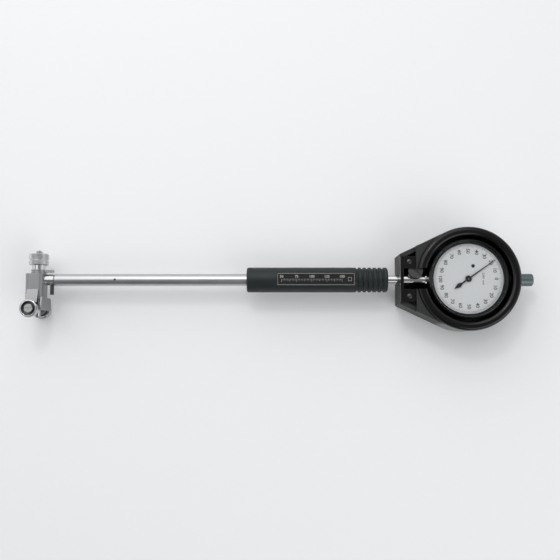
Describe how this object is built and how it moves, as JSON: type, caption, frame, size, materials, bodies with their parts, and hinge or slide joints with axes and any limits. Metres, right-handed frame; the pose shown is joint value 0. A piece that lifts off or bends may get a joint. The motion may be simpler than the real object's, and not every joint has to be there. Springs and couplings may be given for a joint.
{
  "type": "dial bore gauge",
  "caption": "Bore gauge with a two-point sprung measuring head, long tube, ribbed grip, and a dial indicator clamped in a protective cover.",
  "frame": {"origin": "under the middle of the gauge, on the surface that it lies on", "axes": "+X along the bar from the measuring head to the dial, +Y along the measuring line from the moving contact to the anvil, +Z out of the dial"},
  "size_m": [0.365, 0.074, 0.035],
  "materials": {
    "satin_steel": "satin chrome plate",
    "polished_steel": "polished chrome plate",
    "knurled_steel": "knurled, satin chrome plate",
    "hard_steel": "hardened and ground",
    "brass": "plain",
    "bush_plastic": "plain",
    "grip_plastic": "moulded, matt",
    "label_black": "black with pale print",
    "cover_plastic": "moulded, glossy ring and matt skirt",
    "case_black": "black, semi-gloss",
    "cap_grey": "satin, grey",
    "face_white": "white with black print",
    "pointer_black": "black",
    "crystal": "clear"
  },
  "bodies": {
    "gauge": {"head_body": "satin_steel", "neck_screw": "hard_steel", "anvil_sleeve": "polished_steel", "anvil": "hard_steel", "contact_bush": "polished_steel", "crank_pin": "hard_steel", "tube": "satin_steel", "front_rod_bush": "bush_plastic", "rear_rod_bush": "bush_plastic", "bush_pin": "hard_steel", "grip": "grip_plastic", "label_plate": "label_black", "dial_clamp": "polished_steel", "clamp_nut": "polished_steel", "dial_case": "case_black", "back_cover": "case_black", "back_screws": "hard_steel", "stem": "polished_steel", "spindle_cap": "cap_grey", "rear_plate": "brass", "front_plate": "brass", "plate_pillars": "brass", "centre_cock": "brass", "protection_cover": "cover_plastic", "keeper_plate": "cover_plastic", "keeper_screws": "hard_steel"},
    "anvil_nut": {"anvil_nut": "knurled_steel"},
    "contact": {"contact_point": "hard_steel"},
    "crank": {"bell_crank": "hard_steel"},
    "rod": {"push_rod": "hard_steel"},
    "guide": {"guide_bridge": "satin_steel", "guide_pins": "hard_steel", "roller_screws": "hard_steel"},
    "upper_roller": {"upper_roller": "polished_steel"},
    "lower_roller": {"lower_roller": "polished_steel"},
    "clamp_screw": {"clamp_screw": "polished_steel"},
    "spindle": {"spindle": "hard_steel", "spindle_tip": "hard_steel"},
    "first_arbor": {"first_arbor": "hard_steel", "first_wheel": "brass"},
    "second_arbor": {"second_arbor": "hard_steel", "second_wheel": "brass"},
    "pointer": {"centre_arbor": "hard_steel", "pointer": "pointer_black"},
    "bezel": {"bezel": "case_black", "crystal": "crystal", "dial_face": "face_white"}
  },
  "joints": [
    {"name": "contact_slide", "type": "slide", "parent": "gauge", "child": "contact", "axis": [0, 1, 0], "range_m": [0, 0.001], "stiffness_N_per_m": 400, "springref_m": -0.01},
    {"name": "crank_swing", "type": "hinge", "parent": "gauge", "child": "crank", "pos_m": [-0.17217, -0.0026, 0.0175], "axis": [0, 0, -1], "range_deg": [0, 22.05]},
    {"name": "rod_slide", "type": "slide", "parent": "gauge", "child": "rod", "axis": [1, 0, 0], "range_m": [0, 0.001]},
    {"name": "spindle_slide", "type": "slide", "parent": "gauge", "child": "spindle", "axis": [1, 0, 0], "range_m": [0, 0.001]},
    {"name": "first_arbor_turn", "type": "hinge", "parent": "gauge", "child": "first_arbor", "pos_m": [0.14546, -0.00255, 0.0175], "axis": [0, 0, -1], "range_deg": [0, 60]},
    {"name": "second_arbor_turn", "type": "hinge", "parent": "gauge", "child": "second_arbor", "pos_m": [0.13822, -0.00727, 0.0175], "axis": [0, 0, -1], "range_deg": [-300, 0]},
    {"name": "pointer_turn", "type": "hinge", "parent": "gauge", "child": "pointer", "pos_m": [0.13403, 0, 0.0175], "axis": [0, 0, -1], "range_deg": [0, 1800]},
    {"name": "bridge_slide", "type": "slide", "parent": "gauge", "child": "guide", "axis": [0, 1, 0], "range_m": [0, 0.005], "stiffness_N_per_m": 800, "springref_m": -0.006},
    {"name": "upper_roller_turn", "type": "hinge", "parent": "guide", "child": "upper_roller", "pos_m": [-0.17627, -0.0213, 0.03225], "axis": [0, 0, 1], "continuous": true},
    {"name": "lower_roller_turn", "type": "hinge", "parent": "guide", "child": "lower_roller", "pos_m": [-0.17627, -0.0213, 0.00275], "axis": [0, 0, 1], "continuous": true},
    {"name": "anvil_nut_turn", "type": "hinge", "parent": "gauge", "child": "anvil_nut", "pos_m": [-0.17478, 0.0148, 0.0175], "axis": [0, 1, 0], "continuous": true},
    {"name": "clamp_screw_turn", "type": "hinge", "parent": "gauge", "child": "clamp_screw", "pos_m": [0.09703, 0.0059, 0.0175], "axis": [0, 0, 1], "range_deg": [0, 360]},
    {"name": "bezel_turn", "type": "hinge", "parent": "gauge", "child": "bezel", "pos_m": [0.13403, 0, 0.0275], "axis": [0, 0, 1], "continuous": true}
  ],
  "couplings": [
    {"joint": "rod_slide", "follows": "contact_slide", "ratio": 1},
    {"joint": "spindle_slide", "follows": "contact_slide", "ratio": 1},
    {"joint": "crank_swing", "follows": "contact_slide", "rad_per_m": 384.62},
    {"joint": "first_arbor_turn", "follows": "contact_slide", "rad_per_m": 1047.2},
    {"joint": "second_arbor_turn", "follows": "contact_slide", "rad_per_m": -5236},
    {"joint": "pointer_turn", "follows": "contact_slide", "rad_per_m": 31416}
  ]
}
